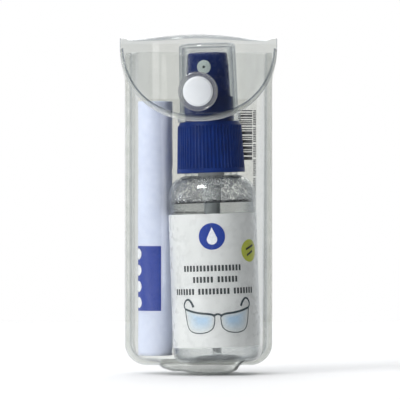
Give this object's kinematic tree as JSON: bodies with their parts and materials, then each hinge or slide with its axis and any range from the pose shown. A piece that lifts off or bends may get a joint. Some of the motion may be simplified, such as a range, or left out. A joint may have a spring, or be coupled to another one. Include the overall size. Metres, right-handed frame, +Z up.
{
  "type": "lens cleaning spray kit",
  "caption": "Clear soft vinyl pouch with a snap flap, holding a small fine-mist lens cleaning spray bottle with clear overcap and a rolled microfibre cloth.",
  "frame": {"origin": "middle of the pouch standing face, on the floor", "axes": "+Z up along the pouch, -Y to the front (snap side), +X to the right as seen from the front"},
  "size_m": [0.054, 0.0319, 0.1149],
  "materials": {
    "film": "clear soft vinyl film",
    "weld": "welded vinyl, fine knurl",
    "info": "clear film sticker with dark print",
    "snap": "white acetal",
    "washer": "clear film disc",
    "cloth": "brushed microfibre",
    "pet": "clear polyester",
    "label": "gloss white film label",
    "promo": "gloss paper sticker",
    "fluid": "clear water-based fluid",
    "gasket": "foamed elastomer",
    "pump": "natural polypropylene",
    "tube": "translucent polyethylene",
    "steel": "stainless",
    "actuator": "dark blue polypropylene, satin",
    "insert": "natural polypropylene",
    "closure": "dark blue polypropylene, satin",
    "overcap": "clear styrene, polished"
  },
  "bodies": {
    "pouch": {"pouch_back_panel": "film", "pouch_front_panel": "film", "pouch_weld_band": "weld", "info_sticker": "info", "snap_stud": "snap", "snap_rivet": "snap"},
    "flap": {"flap_panel": "film", "flap_weld_band": "weld", "snap_washer": "washer", "snap_socket": "snap", "snap_cap": "snap"},
    "cloth": {"cleaning_cloth": "cloth"},
    "bottle": {"bottle": "pet", "bottle_label": "label", "promo_sticker": "promo", "cleaning_fluid": "fluid"},
    "pump": {"pump_housing": "pump", "housing_cap": "pump", "neck_gasket": "gasket", "dip_tube": "tube", "return_spring": "steel"},
    "ball": {"valve_ball": "steel"},
    "plunger": {"piston": "pump", "stem": "pump"},
    "actuator": {"actuator": "actuator", "nozzle_insert": "insert"},
    "closure": {"screw_closure": "closure"},
    "overcap": {"overcap": "overcap"}
  },
  "joints": [
    {"name": "flap_lift", "type": "hinge", "parent": "pouch", "child": "flap", "pos_m": [0, 0.0156, 0.1138], "axis": [-1, 0, 0], "range_deg": [0, 150]},
    {"name": "cloth_lift", "type": "slide", "parent": "pouch", "child": "cloth", "axis": [0, 0, 1], "range_m": [0, 0.02]},
    {"name": "bottle_lift", "type": "slide", "parent": "pouch", "child": "bottle", "axis": [-0.0332, 0, 0.9995], "range_m": [0, 0.0012]},
    {"name": "pump_lift", "type": "slide", "parent": "bottle", "child": "pump", "axis": [-0.0332, 0, 0.9995], "range_m": [0, 0.00114]},
    {"name": "closure_turn", "type": "hinge", "parent": "pump", "child": "closure", "pos_m": [0.00401, 0, 0.07636], "axis": [-0.0332, 0, 0.9995], "range_deg": [0, 130]},
    {"name": "overcap_pull", "type": "slide", "parent": "closure", "child": "overcap", "axis": [-0.0332, 0, 0.9995], "range_m": [0, 0.0012]},
    {"name": "press", "type": "slide", "parent": "pump", "child": "plunger", "axis": [0.0332, 0, -0.9995], "range_m": [0, 0.0042], "stiffness_N_per_m": 500, "springref_m": -0.004, "deforming": ["return_spring"]},
    {"name": "actuator_turn", "type": "hinge", "parent": "plunger", "child": "actuator", "pos_m": [0.00342, 0, 0.09435], "axis": [-0.0332, 0, 0.9995], "continuous": true},
    {"name": "ball_lift", "type": "slide", "parent": "pump", "child": "ball", "axis": [-0.0332, 0, 0.9995], "range_m": [0, 0.0008]}
  ],
  "couplings": [
    {"joint": "closure_turn", "follows": "pump_lift", "rad_per_m": 1979}
  ]
}
